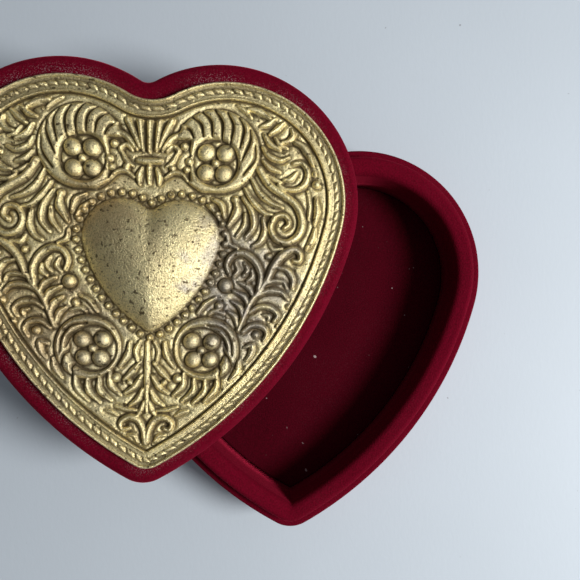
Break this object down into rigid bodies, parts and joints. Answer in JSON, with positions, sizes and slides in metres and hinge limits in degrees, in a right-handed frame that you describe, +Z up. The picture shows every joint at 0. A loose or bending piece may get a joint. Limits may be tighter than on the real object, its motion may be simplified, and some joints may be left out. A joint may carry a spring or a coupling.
{
  "type": "keepsake box",
  "caption": "Heart-shaped keepsake box in velvet with a padded neck and floor; its lid, with an embossed brass plate, is laid off-centre over the open base.",
  "frame": {"origin": "on the surface the box stands on, under the middle of the base's outline (half way across its width and half way along its length)", "axes": "+Z up, +Y towards the two lobes of the heart, +X to the right as the picture is seen"},
  "size_m": [0.1343, 0.1154, 0.0367],
  "materials": {
    "velvet": "short-pile crimson velvet",
    "lining": "crimson lining cloth",
    "wadding": "white wadding",
    "felt": "dark felt",
    "greyboard": "raw greyboard",
    "brass": "stamped and tarnished"
  },
  "bodies": {
    "base": {"base_board": "greyboard", "base_wall_left": "greyboard", "base_wall_right": "greyboard", "neck_board_left": "greyboard", "neck_board_right": "greyboard", "neck_padding": "wadding", "neck_velvet": "velvet", "base_velvet": "velvet", "turn_in_infill": "greyboard", "base_felt": "felt", "floor_card": "greyboard", "floor_wadding": "wadding", "floor_velvet": "velvet"},
    "lid": {"lid_board": "greyboard", "lid_wall_left": "greyboard", "lid_wall_right": "greyboard", "lid_velvet": "velvet", "lid_side_lining": "lining", "ceiling_card": "greyboard", "ceiling_wadding": "wadding", "ceiling_lining": "lining", "plate_backing": "greyboard", "brass_plate": "brass"}
  },
  "joints": [
    {"name": "lid_lift", "type": "slide", "parent": "base", "child": "lid", "axis": [0, 0, 1], "range_m": [0, 0.06]}
  ]
}
